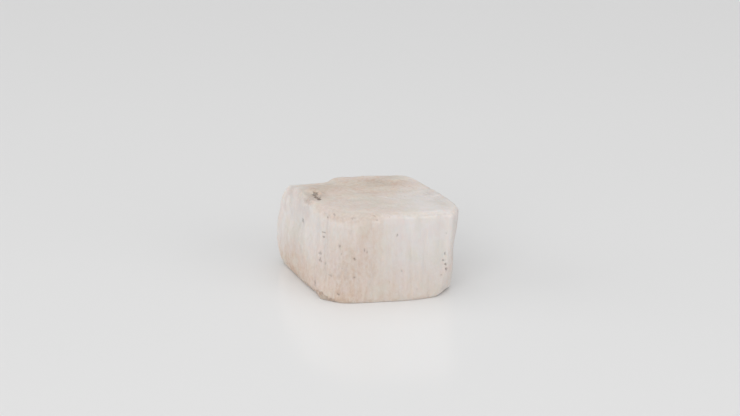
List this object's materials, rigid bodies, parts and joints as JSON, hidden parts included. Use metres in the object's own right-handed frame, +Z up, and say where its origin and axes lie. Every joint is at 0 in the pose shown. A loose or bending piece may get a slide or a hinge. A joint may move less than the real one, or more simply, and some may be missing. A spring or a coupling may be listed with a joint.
{
  "type": "gypsum crystal",
  "caption": "Small upright block of fibrous pink gypsum: a leaning parallelogram prism with a rough broken top, worn edges and a flat lower end to stand on.",
  "frame": {"origin": "middle of the bounding box's lower face, on the surface that the block stands on", "axes": "+X along the long front face to its right-hand end, +Y away from that face, +Z up along the fibres"},
  "size_m": [0.0384, 0.0266, 0.0203],
  "materials": {
    "gypsum": "satin, milky and slightly translucent"
  },
  "bodies": {
    "root": {"crystal": "gypsum"}
  },
  "joints": []
}
